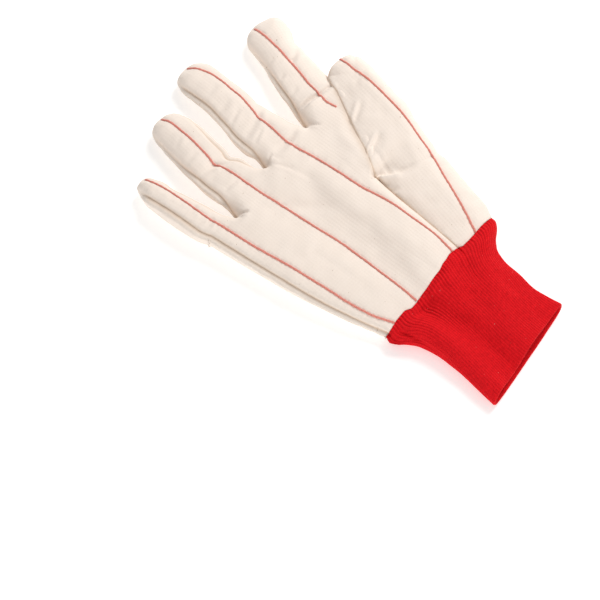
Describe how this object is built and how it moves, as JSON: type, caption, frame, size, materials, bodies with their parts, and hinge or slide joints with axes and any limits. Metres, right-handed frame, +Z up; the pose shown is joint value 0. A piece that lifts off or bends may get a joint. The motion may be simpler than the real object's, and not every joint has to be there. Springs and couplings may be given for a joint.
{
  "type": "double palm work glove",
  "caption": "Right-hand cotton canvas work glove with a quilted double palm, round fingers, a set-on thumb and a ribbed knit wrist, lying palm up and open at the wrist.",
  "frame": {"origin": "on the surface that the glove lies on, on the flat underside of the back, under the middle of the hand", "axes": "+Y from the wrist band to the fingertips, +X to the thumb side, +Z up, out of the palm"},
  "size_m": [0.1518, 0.2663, 0.022],
  "materials": {
    "palm_canvas": "napped corded cotton canvas",
    "back_canvas": "plain cotton canvas",
    "rib_knit": "ribbed cotton knit"
  },
  "bodies": {
    "root": {"palm": "palm_canvas", "little_back": "back_canvas", "ring_back": "back_canvas", "middle_back": "back_canvas", "index_back": "back_canvas", "thumb_front": "palm_canvas", "thumb_back": "back_canvas", "knit_wrist": "rib_knit"}
  },
  "joints": []
}
